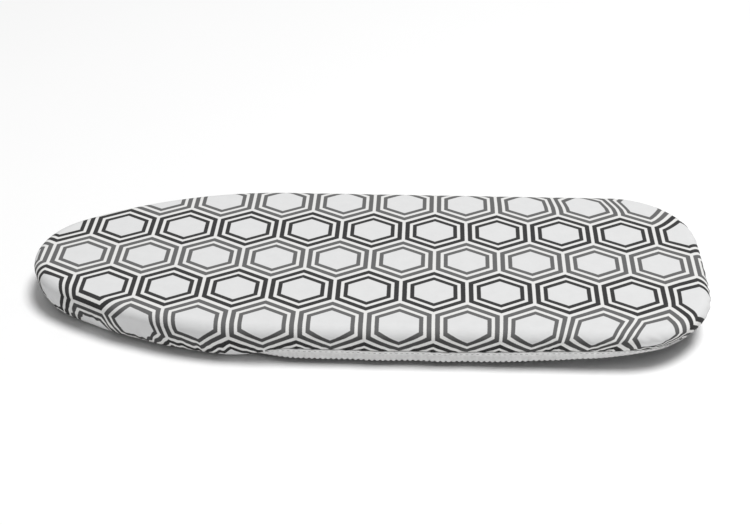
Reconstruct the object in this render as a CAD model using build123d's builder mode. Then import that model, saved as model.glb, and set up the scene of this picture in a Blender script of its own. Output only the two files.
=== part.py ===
from build123d import *
import os
from math import atan2, cos, degrees, radians, sqrt, tan

# Tabletop ironing board with folding legs, lying on its folded legs.
# Frame: origin under the middle of the board on the table, +Z up, the round nose towards -X,
# the squared tail towards +X. Millimetres.

# ---- driving dimensions -------------------------------------------------------------------
LENGTH = 807.0            # over the cover, nose to tail
WIDTH = 311.0             # over the cover
TOP_Z = 54.0              # ironing surface above the table, legs folded
HEM_Z = 5.0               # lower edge of the elastic hem
NOSE_R = 92.0             # tip of the nose
SIDE_R = 454.0            # long flank between nose and parallel sides
CORNER_R = 102.0          # tail corners
TAIL_BOW = 7.2            # how far the tail end bulges
EDGE_R = 8.5              # rounding of the padded top edge

SHOULDER_Z = 45.0         # below this the padded side leans in
SIDE_LEAN = 8.0           # how far it has leaned in at the top of the hem

COVER_T = 1.0             # cotton
PAD_T = 5.0               # felt pad
PAD_BOTTOM_Z = 26.0       # where the pad ends, turned down over the rim
SHEET_T = 0.8             # steel sheet
CUFF_H = 14.0             # elastic hem
CUFF_T = 1.6
CUFF_LEAN = 3.0           # how far the hem leans in from its top to its lower edge
GAP = 0.3                 # clearance between neighbours that only lie close

RIM_INSET = 14.0          # skirt, inside the cover's outline
RIM_BOTTOM_Z = 24.0
RIM_EDGE_R = 4.0
RIM_FLANGE = 24.0         # width of the skirt's top flange
RIM_LIP = 2.5             # width of its return lip

VENT_D = 12.0             # vent holes in the top sheet
VENT_PITCH = 22.0
VENT_MARGIN = 44.0        # from the outline to the centres of the outermost holes

PIVOT_X = 235.0           # leg pivots, from the middle of the board
LEG_HALF_W = 96.0         # tube centre lines, either side of the middle
LEG_REACH = 150.0         # pivot to crossbar
LEG_BEND_R = 26.0
TUBE_D = 16.0
TUBE_WALL = 1.2
FOOT_D = 22.0
FOOT_STRAIGHT = 16.0      # rubber past each end of the bend
FOOT_EDGE_R = 1.4

OPEN_ANGLE = 100.0        # leg swing from folded to standing
RAIL_W = 26.0             # cross rails and centre rail
CENTRE_RAIL_Z = 30.0      # underside of the centre rail
BRACKET_T = 2.0
BRACKET_INBOARD = 14.0    # cheek length from the pivot, towards the middle
BRACKET_EAR = 10.0        # mounting ear past each cheek
BRACKET_EDGE_R = 1.4
BRACKET_EAR_R = 3.0
TUBE_SIDE_GAP = 0.5       # tube to bracket cheek
PIN_D = 6.0
PIN_FIT = 0.05            # radial running clearance of a leg on its pin
PIN_HEAD_D = 10.0
PIN_HEAD_H = 1.8
RIVET_D = 4.0
RIVET_HEAD_D = 7.6
RIVET_HEAD_H = 1.6
SADDLE_WALL = 3.7         # prong of a leg saddle
SADDLE_W = 20.0
SADDLE_BASE_T = 3.0
SADDLE_BASE_L = 48.0      # along the centre rail

# ---- derived heights ----------------------------------------------------------------------
PAD_Z = TOP_Z - COVER_T - PAD_T          # underside of the pad, top of the rim flange
SHEET_Z = PAD_Z - SHEET_T                # top of the vented sheet
RAIL_TOP_Z = SHEET_Z - SHEET_T
PIVOT_Z = FOOT_D / 2
CUFF_TOP_Z = HEM_Z + CUFF_H
BRACKET_TOP_Z = PIVOT_Z + 15.0
CHEEK_DROP = 7.5                         # cheek and stop wall, below the pivot
LEAN = radians(OPEN_ANGLE - 90)
STOP_X = TUBE_D / 2 / cos(LEAN) + CHEEK_DROP * tan(LEAN) + 0.1
CHEEK_Y = TUBE_D / 2 + TUBE_SIDE_GAP
EAR_Y = CHEEK_Y + BRACKET_T + BRACKET_EAR
RIVET_Y = EAR_Y - BRACKET_EAR / 2
SADDLE_BLOCK_L = TUBE_D + 2 * (GAP + SADDLE_WALL)
SADDLE_RIVET_X = (SADDLE_BLOCK_L + SADDLE_BASE_L) / 4

os.makedirs("parts", exist_ok=True)


def write(builder, name):
    """Label a finished piece and write it as its own STEP file."""
    builder.part.label = name
    export_step(builder.part, f"parts/{name}.step")


def outline(inset):
    """The board's outline drawn in by inset: nose arc, flank arcs, sides, corners, bowed end."""
    half_l = LENGTH / 2
    half_w = WIDTH / 2
    nose_x = -half_l + NOSE_R
    rise = SIDE_R - half_w
    flank_x = nose_x + sqrt((SIDE_R - NOSE_R) ** 2 - rise**2)
    nose_turn = degrees(atan2(rise, flank_x - nose_x))
    end_r = half_w**2 / (2 * TAIL_BOW)
    end_x = half_l - end_r
    corner_y = half_w - CORNER_R
    corner_x = end_x + sqrt((end_r - CORNER_R) ** 2 - corner_y**2)
    end_turn = degrees(atan2(corner_y, corner_x - end_x))
    with BuildSketch() as sketch:
        with BuildLine():
            CenterArc((nose_x, 0), NOSE_R, 180, -nose_turn)
            CenterArc((flank_x, half_w - SIDE_R), SIDE_R, 180 - nose_turn, nose_turn - 90)
            Line((flank_x, half_w), (corner_x, half_w))
            CenterArc((corner_x, corner_y), CORNER_R, 90, end_turn - 90)
            CenterArc((end_x, 0), end_r, end_turn, -end_turn)
            mirror(about=Plane.XZ)
        make_face()
        if inset:
            offset(amount=-inset)
    return sketch.sketch


def ring(inset, width):
    """A flat band along the outline, width wide, starting inset inside it."""
    with BuildSketch() as sketch:
        add(outline(inset))
        add(outline(inset + width), mode=Mode.SUBTRACT)
    return sketch.sketch


def slab(inset, bottom, top, edge_r=0.0):
    """A plate in the board's outline with its upper edge rounded."""
    with BuildPart() as plate:
        with BuildSketch(Plane.XY.offset(bottom)):
            add(outline(inset))
        extrude(amount=top - bottom)
        if edge_r:
            fillet(plate.faces().sort_by(Axis.Z)[-1].edges(), radius=edge_r)
    return plate.part


def padded_form(inset):
    """The padded board's outer shape drawn in by inset: rounded top edge, side leaning in below."""
    with BuildPart() as form:
        add(slab(inset, SHOULDER_Z, TOP_Z - inset, EDGE_R - inset))
        with BuildSketch(Plane.XY.offset(CUFF_TOP_Z)):
            add(outline(inset + SIDE_LEAN))
        with BuildSketch(Plane.XY.offset(SHOULDER_Z)):
            add(outline(inset))
        loft()
    return form.part


# ---- soft layers --------------------------------------------------------------------------
with BuildPart() as cover:
    add(padded_form(0.0))
    add(padded_form(COVER_T), mode=Mode.SUBTRACT)
write(cover, "cover")

with BuildPart() as foam_pad:
    add(padded_form(COVER_T))
    split(bisect_by=Plane.XY.offset(PAD_BOTTOM_Z), keep=Keep.TOP)
    add(slab(RIM_INSET, PAD_BOTTOM_Z, PAD_Z, RIM_EDGE_R), mode=Mode.SUBTRACT)
write(foam_pad, "foam_pad")

with BuildPart() as hem_elastic:
    for depth, mode in ((0.0, Mode.ADD), (CUFF_T, Mode.SUBTRACT)):
        with BuildSketch(Plane.XY.offset(HEM_Z)):
            add(outline(SIDE_LEAN + CUFF_LEAN + depth))
        with BuildSketch(Plane.XY.offset(CUFF_TOP_Z)):
            add(outline(SIDE_LEAN + depth))
        loft(mode=mode)
write(hem_elastic, "hem_elastic")

# ---- rim and top sheet --------------------------------------------------------------------
with BuildPart() as rim_frame:
    add(slab(RIM_INSET, RIM_BOTTOM_Z, PAD_Z, RIM_EDGE_R))
    add(
        slab(RIM_INSET + SHEET_T, RIM_BOTTOM_Z, SHEET_Z, RIM_EDGE_R - SHEET_T),
        mode=Mode.SUBTRACT,
    )
    with BuildSketch(Plane.XY.offset(SHEET_Z)):
        add(outline(RIM_INSET + RIM_FLANGE))
    extrude(amount=SHEET_T, mode=Mode.SUBTRACT)
    with BuildSketch(Plane.XY.offset(RIM_BOTTOM_Z)):
        add(ring(RIM_INSET, RIM_LIP))
    extrude(amount=SHEET_T)
write(rim_frame, "rim_frame")

sheet_inset = RIM_INSET + RIM_EDGE_R + GAP
vent_area = outline(VENT_MARGIN).face()
vent_grid = HexLocations(VENT_PITCH / 2, int(LENGTH / VENT_PITCH), int(WIDTH / VENT_PITCH))
vents = [place for place in vent_grid.local_locations if vent_area.is_inside(place.position)]
with BuildPart() as mesh_top:
    with BuildSketch(Plane.XY.offset(RAIL_TOP_Z)):
        add(outline(sheet_inset))
        with Locations(*vents):
            Circle(VENT_D / 2, mode=Mode.SUBTRACT)
    extrude(amount=SHEET_T)
write(mesh_top, "mesh_top")


# ---- rails --------------------------------------------------------------------------------
def channel(plane, bottom):
    """Section of an upward-open channel on plane, whose local Y is the height."""
    with BuildSketch(plane) as section:
        with Locations((0, (bottom + RAIL_TOP_Z) / 2)):
            Rectangle(RAIL_W, RAIL_TOP_Z - bottom)
        with Locations((0, (bottom + SHEET_T + RAIL_TOP_Z) / 2)):
            Rectangle(RAIL_W - 2 * SHEET_T, RAIL_TOP_Z - bottom - SHEET_T, mode=Mode.SUBTRACT)
    return section.sketch


ends = (("nose", -1), ("tail", 1))
sides = (("left", 1), ("right", -1))

for end, sign in ends:
    across = Plane(origin=(sign * PIVOT_X, 0, 0), x_dir=(1, 0, 0), z_dir=(0, -1, 0))
    with BuildPart() as cross_rail:
        extrude(channel(across, BRACKET_TOP_Z), amount=WIDTH / 2, both=True)
        add(slab(sheet_inset, BRACKET_TOP_Z, RAIL_TOP_Z), mode=Mode.INTERSECT)
        with Locations(Plane.XY.offset(BRACKET_TOP_Z)):
            with Locations(*[(sign * PIVOT_X, y + dy) for y in (-LEG_HALF_W, LEG_HALF_W)
                             for dy in (-RIVET_Y, RIVET_Y)]):
                Cylinder(RIVET_D / 2, 3 * SHEET_T, mode=Mode.SUBTRACT)
    write(cross_rail, f"cross_rail_{end}")

centre_half = PIVOT_X - RAIL_W / 2
saddle_x = PIVOT_X - LEG_REACH
with BuildPart() as centre_rail:
    extrude(channel(Plane.YZ, CENTRE_RAIL_Z), amount=centre_half, both=True)
    with Locations(*[(sx * saddle_x + dx, 0, CENTRE_RAIL_Z)
                     for sx in (-1, 1) for dx in (-SADDLE_RIVET_X, SADDLE_RIVET_X)]):
        Cylinder(RIVET_D / 2, 3 * SHEET_T, mode=Mode.SUBTRACT)
write(centre_rail, "centre_rail")


# ---- hinges -------------------------------------------------------------------------------
def hinge_bracket(sign, y):
    """Clevis under a cross rail: two cheeks, an outboard stop wall and two riveted ears."""
    x = sign * PIVOT_X
    upright = Plane(origin=(x, y, 0), x_dir=(sign, 0, 0), z_dir=(0, 0, 1))
    side = Plane(origin=(x, y, PIVOT_Z), x_dir=(1, 0, 0), z_dir=(0, -1, 0))
    body_len = BRACKET_INBOARD + STOP_X + BRACKET_T
    body_mid = (STOP_X + BRACKET_T - BRACKET_INBOARD) / 2
    pocket_mid = (STOP_X - BRACKET_INBOARD) / 2
    bottom = PIVOT_Z - CHEEK_DROP
    with BuildPart() as bracket:
        with BuildSketch(upright.offset(bottom)):
            with Locations((body_mid, 0)):
                Rectangle(body_len, 2 * (CHEEK_Y + BRACKET_T))
        extrude(amount=BRACKET_TOP_Z - bottom)
        fillet(bracket.edges().filter_by(Axis.Z), radius=BRACKET_EDGE_R)
        with BuildSketch(upright.offset(bottom)):
            with Locations((pocket_mid, 0)):
                Rectangle(BRACKET_INBOARD + STOP_X, 2 * CHEEK_Y)
        extrude(amount=BRACKET_TOP_Z - BRACKET_T - bottom, mode=Mode.SUBTRACT)
        with BuildSketch(upright.offset(BRACKET_TOP_Z - BRACKET_T)):
            with Locations((body_mid, 0)):
                RectangleRounded(body_len, 2 * EAR_Y, BRACKET_EAR_R)
        extrude(amount=BRACKET_T)
        with Locations(side):
            Cylinder(PIN_D / 2, 4 * CHEEK_Y, mode=Mode.SUBTRACT)
        with Locations(*[upright.offset(BRACKET_TOP_Z) * Location((0, dy)) for dy in (-RIVET_Y, RIVET_Y)]):
            Cylinder(RIVET_D / 2, 3 * BRACKET_T, mode=Mode.SUBTRACT)
    return bracket


def headed_pin(plane, length, shank_d, head_d, head_h):
    """A shank of the given length along the plane's normal, headed at both ends."""
    with BuildPart() as pin:
        with Locations(plane):
            Cylinder(shank_d / 2, length)
            with Locations((0, 0, (length + head_h) / 2), (0, 0, -(length + head_h) / 2)):
                Cylinder(head_d / 2, head_h)
        rims = pin.edges().filter_by(GeomType.CIRCLE).group_by(SortBy.RADIUS)[-1]
        along = Axis(plane.origin, plane.z_dir)
        outer = rims.sort_by(along)
        chamfer(outer[0:1] + outer[-1:], length=head_h * 0.4)
    return pin


for end, sign in ends:
    for side_name, side_sign in sides:
        bracket_y = side_sign * LEG_HALF_W
        write(hinge_bracket(sign, bracket_y), f"hinge_bracket_{end}_{side_name}")
        pin_plane = Plane(origin=(sign * PIVOT_X, bracket_y, PIVOT_Z), z_dir=(0, 1, 0))
        pin = headed_pin(pin_plane, 2 * (CHEEK_Y + BRACKET_T), PIN_D, PIN_HEAD_D, PIN_HEAD_H)
        write(pin, f"pivot_pin_{end}_{side_name}")


def rivets(places, length):
    """A group of upright rivets whose shanks are centred on places."""
    with BuildPart() as group:
        for place in places:
            add(headed_pin(Plane(place), length, RIVET_D, RIVET_HEAD_D, RIVET_HEAD_H).part)
    return group


bracket_grip = BRACKET_T + SHEET_T
bracket_rivet_z = BRACKET_TOP_Z - BRACKET_T + bracket_grip / 2
bracket_places = [
    (sx * PIVOT_X, sy * LEG_HALF_W + dy, bracket_rivet_z)
    for sx in (-1, 1) for sy in (-1, 1) for dy in (-RIVET_Y, RIVET_Y)
]
write(rivets(bracket_places, bracket_grip), "bracket_rivets")

# ---- leg saddles --------------------------------------------------------------------------
for end, sign in ends:
    seat = Plane(origin=(sign * saddle_x, 0, PIVOT_Z), x_dir=(1, 0, 0), z_dir=(0, -1, 0))
    block_h = CENTRE_RAIL_Z - PIVOT_Z
    with BuildPart() as leg_saddle:
        with BuildSketch(seat):
            with Locations((0, block_h / 2)):
                Rectangle(SADDLE_BLOCK_L, block_h)
            Circle(TUBE_D / 2 + GAP, mode=Mode.SUBTRACT)
        extrude(amount=SADDLE_W / 2, both=True)
        with BuildSketch(Plane.XY.offset(CENTRE_RAIL_Z)):
            with Locations((sign * saddle_x, 0)):
                RectangleRounded(SADDLE_BASE_L, SADDLE_W, 4)
        extrude(amount=-SADDLE_BASE_T)
        with Locations(*[(sign * saddle_x + dx, 0, CENTRE_RAIL_Z)
                         for dx in (-SADDLE_RIVET_X, SADDLE_RIVET_X)]):
            Cylinder(RIVET_D / 2, 3 * SADDLE_BASE_T, mode=Mode.SUBTRACT)
    write(leg_saddle, f"leg_saddle_{end}")

saddle_grip = SADDLE_BASE_T + SHEET_T
saddle_places = [
    (sx * saddle_x + dx, 0, CENTRE_RAIL_Z - SADDLE_BASE_T + saddle_grip / 2)
    for sx in (-1, 1) for dx in (-SADDLE_RIVET_X, SADDLE_RIVET_X)
]
write(rivets(saddle_places, saddle_grip), "saddle_rivets")

# ---- legs and feet ------------------------------------------------------------------------
for end, sign in ends:
    bar_x = sign * saddle_x
    tip_x = sign * (PIVOT_X + TUBE_D / 2)
    with BuildPart() as leg:
        with BuildLine(Plane.XY.offset(PIVOT_Z)) as run:
            FilletPolyline(
                (tip_x, LEG_HALF_W), (bar_x, LEG_HALF_W),
                (bar_x, -LEG_HALF_W), (tip_x, -LEG_HALF_W),
                radius=LEG_BEND_R,
            )
        with BuildSketch(Plane(origin=run.line @ 0, z_dir=run.line % 0)):
            Circle(TUBE_D / 2)
            Circle(TUBE_D / 2 - TUBE_WALL, mode=Mode.SUBTRACT)
        sweep(path=run.line)
        pivot_plane = Plane(origin=(sign * PIVOT_X, 0, PIVOT_Z), x_dir=(sign, 0, 0), z_dir=(0, -sign, 0))
        with BuildSketch(pivot_plane):
            with Locations((TUBE_D / 2, 0)):
                Rectangle(TUBE_D, 2 * TUBE_D)
            Circle(TUBE_D / 2, mode=Mode.SUBTRACT)
        extrude(amount=LEG_HALF_W + TUBE_D, both=True, mode=Mode.SUBTRACT)
        with BuildSketch(pivot_plane):
            Circle(PIN_D / 2 + PIN_FIT)
        extrude(amount=LEG_HALF_W + TUBE_D, both=True, mode=Mode.SUBTRACT)
    write(leg, f"leg_{end}")

    for side_name, side_sign in sides:
        reach = LEG_BEND_R + FOOT_STRAIGHT
        with BuildPart() as foot:
            with BuildLine(Plane.XY.offset(PIVOT_Z)) as bend:
                FilletPolyline(
                    (bar_x + sign * reach, side_sign * LEG_HALF_W),
                    (bar_x, side_sign * LEG_HALF_W),
                    (bar_x, side_sign * (LEG_HALF_W - reach)),
                    radius=LEG_BEND_R,
                )
            with BuildSketch(Plane(origin=bend.line @ 0, z_dir=bend.line % 0)):
                Circle(FOOT_D / 2)
                Circle(TUBE_D / 2, mode=Mode.SUBTRACT)
            sweep(path=bend.line)
            rims = foot.edges().filter_by(GeomType.CIRCLE)
            fillet(rims.filter_by(lambda edge: abs(edge.radius - FOOT_D / 2) < 0.01), radius=FOOT_EDGE_R)
        write(foot, f"foot_{end}_{side_name}")
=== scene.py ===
"""Tabletop ironing board: a padded, hexagon-printed cover with an elastic hem, on folding legs."""

import math

import bmesh
import bpy
import numpy as np
from mathutils import Matrix, Vector


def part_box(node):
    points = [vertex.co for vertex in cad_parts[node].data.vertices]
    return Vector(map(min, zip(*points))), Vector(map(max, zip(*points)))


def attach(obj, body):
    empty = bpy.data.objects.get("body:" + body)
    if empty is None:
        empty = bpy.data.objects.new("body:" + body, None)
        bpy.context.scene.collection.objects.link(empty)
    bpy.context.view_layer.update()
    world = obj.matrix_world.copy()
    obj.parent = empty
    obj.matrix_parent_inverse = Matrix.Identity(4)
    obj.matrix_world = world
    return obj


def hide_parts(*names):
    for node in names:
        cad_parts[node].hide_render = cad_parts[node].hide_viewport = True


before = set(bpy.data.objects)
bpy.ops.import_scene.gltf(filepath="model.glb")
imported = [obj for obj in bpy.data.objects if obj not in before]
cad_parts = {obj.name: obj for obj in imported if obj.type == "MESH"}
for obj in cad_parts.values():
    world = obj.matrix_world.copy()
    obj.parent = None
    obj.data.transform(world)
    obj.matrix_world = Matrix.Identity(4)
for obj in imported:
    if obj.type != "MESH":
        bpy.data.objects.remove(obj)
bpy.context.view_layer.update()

bl_info = {
    "name": "Tabletop Ironing Board",
    "version": (1, 0, 0),
    "blender": (4, 5, 0),
    "location": "View3D > Sidebar > Ironing Board",
    "description": "Builds the cover, hem, pad, finishes and stage of a tabletop ironing board",
    "category": "Add Mesh",
}

COVER_LOW, COVER_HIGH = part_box("cover")
HEM_LOW, HEM_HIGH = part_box("hem_elastic")
RIM_LOW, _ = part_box("rim_frame")
PAD_LOW, PAD_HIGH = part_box("foam_pad")
LENGTH = COVER_HIGH.x - COVER_LOW.x
WIDTH = COVER_HIGH.y - COVER_LOW.y
TOP_Z = COVER_HIGH.z
SEAM_Z = COVER_LOW.z  # where the cotton is sewn to the elastic
HEM_Z = HEM_LOW.z
SEAM_INSET = COVER_HIGH.y - HEM_HIGH.y  # the hem's upper edge, in from the widest line
HEM_LEAN = 0.214  # how fast the hem runs inwards as it goes down
HEM_INSET = SEAM_INSET + (HEM_HIGH.z - HEM_LOW.z) * HEM_LEAN  # its lower edge
UV_NAME = "cloth"  # the flat pattern of a cloth piece


# ---- settings -----------------------------------------------------------------------------
def length(name, description, default):
    """A size in metres that a user may change."""
    return bpy.props.FloatProperty(
        name=name, description=description, default=default, min=0.0, precision=5, unit="LENGTH"
    )


def colour(name, description, default):
    """A linear colour that a user may change."""
    return bpy.props.FloatVectorProperty(
        name=name,
        description=description,
        default=default,
        size=3,
        min=0.0,
        max=1.0,
        subtype="COLOR",
    )


def amount(name, description, default, high=10.0):
    """A plain factor that a user may change."""
    return bpy.props.FloatProperty(
        name=name, description=description, default=default, min=0.0, max=high
    )


class BoardShape(bpy.types.PropertyGroup):
    """The board's plan and padded edge."""

    nose_radius: length("Nose radius", "Radius of the round nose", 0.092)
    flank_radius: length("Flank radius", "Radius of the long flanks behind the nose", 0.454)
    corner_radius: length("Corner radius", "Radius of the tail corners", 0.102)
    tail_bow: length("Tail bow", "How far the tail end bulges", 0.0072)
    edge_radius: length("Edge radius", "Rounding of the padded top edge", 0.0125)


class CoverCloth(bpy.types.PropertyGroup):
    """The printed cotton."""

    pitch: length("Print pitch", "Distance between neighbouring hexagons", 0.077)
    print_x: length("Print X", "Where a charcoal hexagon's centre lies along the board", 0.0037)
    print_y: length("Print Y", "Where a charcoal hexagon's centre lies across the board", 0.0578)
    charcoal: colour("Charcoal", "Ink of the dark rows", (0.022, 0.022, 0.023))
    # painted shade: the inks down the sides are darkened to this share, for the shade and the
    # missing sheen of the turned-down cloth
    side_ink_shade: amount("Edge ink", "Tone of the unfaded ink down the sides, as a share", 0.40, 1.0)
    grey: colour("Grey", "Ink of the lighter rows", (0.118, 0.118, 0.119))
    ground: colour("Ground", "Unprinted cotton", (0.775, 0.772, 0.760))
    tint: colour("Tint", "Pale ink inside each hexagon", (0.715, 0.717, 0.718))
    thickness: length("Thickness", "Thickness of the cotton", 0.0006)
    gather: length("Gather", "Height of the puckers above the hem", 0.0011)
    thread: length("Twill rib", "Distance between the twill's ribs", 0.0011)


class HemBand(bpy.types.PropertyGroup):
    """The gathered elastic and its stitches."""

    tooth: length("Tooth", "Pitch of the scalloped edge", 0.0062)
    tooth_depth: length("Tooth depth", "Depth of the scallops", 0.0022)
    stitch: length("Stitch", "Pitch of the sewn line", 0.0062)
    thread: length("Thread", "Thickness of the sewing thread", 0.00085)
    elastic: colour("Elastic", "Woven elastic", (0.87, 0.87, 0.865))
    yarn: colour("Yarn", "Colour of the sewing thread", (0.22, 0.22, 0.22))


class HardWare(bpy.types.PropertyGroup):
    """Finishes of the steel, rubber, plastic and felt."""

    paint: colour("Paint", "Powder coat of the frame and legs", (0.62, 0.63, 0.64))
    zinc: colour("Zinc", "Plated brackets and pins", (0.55, 0.56, 0.58))
    alloy: colour("Alloy", "Rivets", (0.66, 0.66, 0.67))
    rubber: colour("Rubber", "Feet", (0.028, 0.028, 0.030))
    plastic: colour("Plastic", "Leg saddles", (0.045, 0.046, 0.050))
    felt: colour("Felt", "Pad", (0.46, 0.45, 0.42))


class StudioLight(bpy.types.PropertyGroup):
    """Light, floor and camera."""

    floor: colour("Floor", "Pale floor", (0.935, 0.935, 0.935))
    key: amount("Key", "Power of the overhead softbox, in watts", 372.0, 5000.0)
    key_place: bpy.props.FloatVectorProperty(
        name="Key place",
        description="Centre of the softbox",
        default=(1.55, -0.55, 6.3),
        size=3,
        subtype="TRANSLATION",
    )
    key_size: length("Key size", "Width of the softbox", 2.7)
    ambient: amount("Ambient", "Brightness of the room", 0.29)


class IroningBoard(bpy.types.PropertyGroup):
    """All the settings of the ironing board."""

    shape: bpy.props.PointerProperty(type=BoardShape)
    cover: bpy.props.PointerProperty(type=CoverCloth)
    hem: bpy.props.PointerProperty(type=HemBand)
    hardware: bpy.props.PointerProperty(type=HardWare)
    studio: bpy.props.PointerProperty(type=StudioLight)


def settings():
    """The settings of the scene that is being built."""
    return bpy.context.scene.ironing_board


# ---- plan of the board --------------------------------------------------------------------
class Arc:
    """A clockwise arc of the plan, seen from above."""

    def __init__(self, centre, radius, start, turn):
        self.centre = np.array(centre)
        self.radius = radius
        self.start = start
        self.length = radius * turn

    def at(self, travel):
        angle = self.start - travel / self.radius
        normal = np.column_stack([np.cos(angle), np.sin(angle)])
        return self.centre + self.radius * normal, normal


class Straight:
    """The parallel side of the plan, running towards the tail."""

    def __init__(self, start, length):
        self.start = np.array(start)
        self.length = length

    def at(self, travel):
        points = self.start + np.column_stack([travel, np.zeros_like(travel)])
        return points, np.tile([0.0, 1.0], (len(travel), 1))


def plan_segments(shape):
    """Nose arc, flank arc, straight side, corner arc and bowed end, on the +Y side."""
    half_l = LENGTH / 2
    half_w = WIDTH / 2
    nose_x = -half_l + shape.nose_radius
    rise = shape.flank_radius - half_w
    flank_x = nose_x + math.sqrt((shape.flank_radius - shape.nose_radius) ** 2 - rise**2)
    nose_turn = math.atan2(rise, flank_x - nose_x)
    end_r = half_w**2 / (2 * shape.tail_bow)
    end_x = half_l - end_r
    corner_y = half_w - shape.corner_radius
    corner_x = end_x + math.sqrt((end_r - shape.corner_radius) ** 2 - corner_y**2)
    end_turn = math.atan2(corner_y, corner_x - end_x)
    right = math.pi / 2
    flank = (flank_x, half_w - shape.flank_radius)
    return [
        Arc((nose_x, 0.0), shape.nose_radius, math.pi, nose_turn),
        Arc(flank, shape.flank_radius, math.pi - nose_turn, right - nose_turn),
        Straight((flank_x, half_w), corner_x - flank_x),
        Arc((corner_x, corner_y), shape.corner_radius, right, right - end_turn),
        Arc((end_x, 0.0), end_r, end_turn, end_turn),
    ]


def plan_loop(shape, count):
    """Evenly spaced points of the plan, their outward normals and their distance round it."""
    segments = plan_segments(shape)
    half = sum(part.length for part in segments)
    travel = np.linspace(0.0, half, count // 2 + 1)
    points = np.zeros((len(travel), 2))
    normals = np.zeros((len(travel), 2))
    begun = 0.0
    for part in segments:
        here = (travel >= begun - 1e-9) & (travel <= begun + part.length + 1e-9)
        points[here], normals[here] = part.at(travel[here] - begun)
        begun += part.length
    mirror = np.array([1.0, -1.0])
    points = np.concatenate([points, (points * mirror)[1:-1][::-1]])
    normals = np.concatenate([normals, (normals * mirror)[1:-1][::-1]])
    return points, normals, np.arange(count) * 2 * half / count


def smooth_step(value, low, high):
    """0 below low, 1 above high, with an easy start and end."""
    t = np.clip((value - low) / (high - low), 0.0, 1.0)
    return t * t * (3 - 2 * t)


def hill(value, rise, fall):
    """0, then 1 past the two values of rise, then 0 again past the two values of fall."""
    return smooth_step(value, *rise) * (1 - smooth_step(value, *fall))


def taut_loop(points, around, reach):
    """The plan as a band stretched round it would run: corners are cut by about reach."""
    total = around[1] * len(points)
    frequency = np.fft.fftfreq(len(points), d=1.0 / len(points)) * 2 * math.pi / total
    soften = np.exp(-0.5 * (frequency * reach) ** 2)[:, None]
    return np.real(np.fft.ifft(np.fft.fft(points, axis=0) * soften, axis=0))


WAVES = 14  # sine waves in one irregular wave


def ripples(around, total, longest, shortest, seed):
    """An irregular periodic wave between wavelengths longest and shortest, about -1 to 1."""
    rng = np.random.default_rng(seed)
    first = max(1, round(total / longest))
    last = round(total / shortest)
    wave = np.zeros(np.shape(around))
    picks = rng.integers(first, last + 1, WAVES)
    for turns in picks:
        phase = rng.uniform(0, 2 * math.pi)
        wave = wave + np.sin(2 * math.pi * turns * around / total + phase) * rng.uniform(0.5, 1.0)
    return wave / 3.0


# ---- meshes -------------------------------------------------------------------------------
MERGE = 1e-6  # points nearer than this become one
TINY_EDGE = 1e-7


def ring_faces(count, rings):
    """Quads between consecutive closed rings of count points, facing outwards."""
    i = np.arange(count)
    after = (i + 1) % count
    faces = []
    for j in range(rings - 1):
        a = j * count
        b = a + count
        faces.append(np.column_stack([a + i, a + after, b + after, b + i]))
    return np.concatenate(faces)


def add_mesh(name, points, faces, uvs=None):
    """A smooth-shaded object from points, faces and one UV pair per point, doubles merged."""
    mesh = bpy.data.meshes.new(name)
    mesh.from_pydata(points.tolist(), [], faces.tolist())
    if uvs is not None:
        layer = mesh.uv_layers.new(name=UV_NAME)
        corner = np.zeros(len(mesh.loops), np.int32)
        mesh.loops.foreach_get("vertex_index", corner)
        layer.data.foreach_set("uv", uvs[corner].astype(np.float32).ravel())
    work = bmesh.new()
    work.from_mesh(mesh)
    bmesh.ops.remove_doubles(work, verts=work.verts, dist=MERGE)
    bmesh.ops.dissolve_degenerate(work, edges=work.edges, dist=TINY_EDGE)
    work.to_mesh(mesh)
    work.free()
    mesh.shade_smooth()
    piece = bpy.data.objects.new(name, mesh)
    bpy.context.scene.collection.objects.link(piece)
    return piece


def settle(piece):
    """Turns a piece's modifiers into its mesh."""
    bpy.context.view_layer.update()
    evaluated = piece.evaluated_get(bpy.context.evaluated_depsgraph_get())
    done = bpy.data.meshes.new_from_object(evaluated)
    done.name = piece.name
    if piece.type == "MESH":
        piece.modifiers.clear()
        piece.data = done
        return piece
    name = piece.name
    bpy.data.objects.remove(piece)
    made = bpy.data.objects.new(name, done)
    bpy.context.scene.collection.objects.link(made)
    return made


def thicken(piece, thickness):
    """Gives a sheet its thickness, on its inner side."""
    wall = piece.modifiers.new("thickness", "SOLIDIFY")
    wall.thickness = thickness
    wall.offset = -1.0
    wall.use_even_offset = False
    return settle(piece)


def give(piece, material):
    """Puts one material on a piece."""
    piece.data.materials.clear()
    piece.data.materials.append(material)
    return piece


# ---- the padded edge ----------------------------------------------------------------------
EDGE_RINGS = 9  # rings round the padded top edge
SIDE_RINGS = 20  # rings down the side
TUCK_RINGS = 3  # rings behind or under the elastic
LEAN_TOP = math.tan(0.184)  # how fast the side runs inwards below the rounded edge
LEAN_FOOT = math.tan(0.414)  # and at the seam
UNDER_LEAN = 0.16  # extra run inwards at the foot of a turned-under side
HEM_FOLD = 0.0035  # radius of the turned-under fold
UNDER_REACH = 0.009  # how far the turned-under cloth runs on below the rim
TUCK = (0.0016, -0.0034)  # where the cloth ends behind the tape, from the seam

# places along the board, each as the two X values between which a change happens
NOSE_HEM = (-0.155, -0.075)  # from turned under to hanging open
ELASTIC_BEGINS = (0.06, 0.20)  # the elastic starts to draw the cloth in
SEAM_RISES = ((0.10, 0.22), (0.27, 0.34))
SIDE_RISES = ((0.12, 0.22), (0.33, 0.40))
TURN_RISES = ((0.21, 0.26), (0.36, 0.41))

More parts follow.
